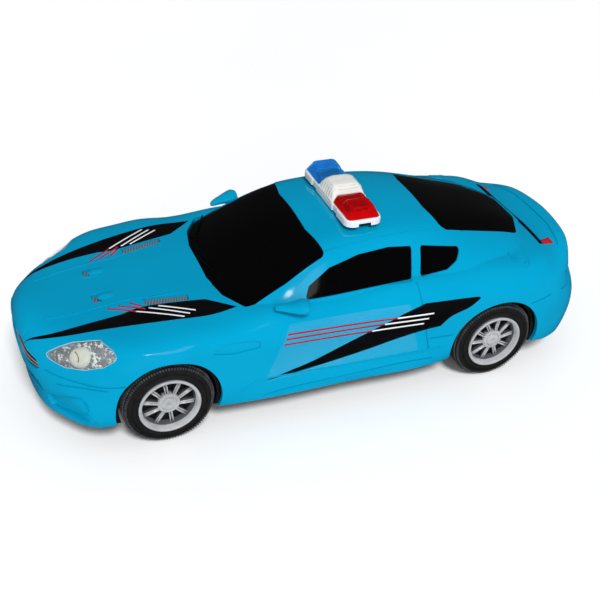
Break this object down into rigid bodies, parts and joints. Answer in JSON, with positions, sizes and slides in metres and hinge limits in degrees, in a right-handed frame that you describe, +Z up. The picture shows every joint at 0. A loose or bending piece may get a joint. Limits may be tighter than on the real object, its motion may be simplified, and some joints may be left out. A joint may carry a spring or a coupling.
{
  "type": "toy police patrol car",
  "caption": "Moulded plastic toy patrol coupe with a roof light bar, rolling freely on two steel axles in a snap-in base plate.",
  "frame": {"origin": "on the ground under the middle of the car's own box, where the tyres stand", "axes": "+X towards the nose, +Y towards the car's left side, +Z up"},
  "size_m": [0.2932, 0.118, 0.0952],
  "materials": {
    "tyre_rubber": "matt black with fine moulded tread",
    "rim_silver": "satin metallised plastic",
    "steel": "plain drawn steel",
    "window_black": "gloss black moulded plastic",
    "base_black": "fine grained black moulded plastic",
    "lens_red": "transparent red moulded plastic over a white base",
    "lens_blue": "transparent dark blue moulded plastic over a white base",
    "bar_white": "gloss white moulded plastic",
    "lamp_clear": "clear moulded plastic over a pale reflector",
    "reflector_silver": "thin metallised plastic with pressed facets",
    "bulb_cream": "cream moulded plastic dome",
    "insert_grey": "grey moulded plastic with a fine mesh",
    "body_blue": "gloss sky blue moulded plastic"
  },
  "bodies": {
    "body": {"base_plate": "base_black", "body_shell": "body_blue", "door_glass_left": "window_black", "door_glass_right": "window_black", "grille": "insert_grey", "headlamp_left": "lamp_clear", "headlamp_right": "lamp_clear", "hood_vents": "insert_grey", "lamp_bulb_left": "bulb_cream", "lamp_bulb_right": "bulb_cream", "lens_blue": "lens_blue", "lens_red": "lens_red", "lightbar_base": "bar_white", "lightbar_cover": "bar_white", "lower_intake": "insert_grey", "mirror_left": "body_blue", "mirror_right": "body_blue", "quarter_glass_left": "window_black", "quarter_glass_right": "window_black", "rear_window": "window_black", "reflector_left": "reflector_silver", "reflector_right": "reflector_silver", "screws": "steel", "windscreen": "window_black"},
    "front_axle": {"axle_front": "steel", "rim_front_left": "rim_silver", "rim_front_right": "rim_silver", "tyre_front_left": "tyre_rubber", "tyre_front_right": "tyre_rubber"},
    "rear_axle": {"axle_rear": "steel", "rim_rear_left": "rim_silver", "rim_rear_right": "rim_silver", "tyre_rear_left": "tyre_rubber", "tyre_rear_right": "tyre_rubber"}
  },
  "joints": [
    {"name": "front_axle_spin", "type": "hinge", "parent": "body", "child": "front_axle", "pos_m": [0.08625, 0, 0.0219], "axis": [0, 1, 0], "continuous": true},
    {"name": "rear_axle_spin", "type": "hinge", "parent": "body", "child": "rear_axle", "pos_m": [-0.08475, 0, 0.0219], "axis": [0, 1, 0], "continuous": true}
  ]
}
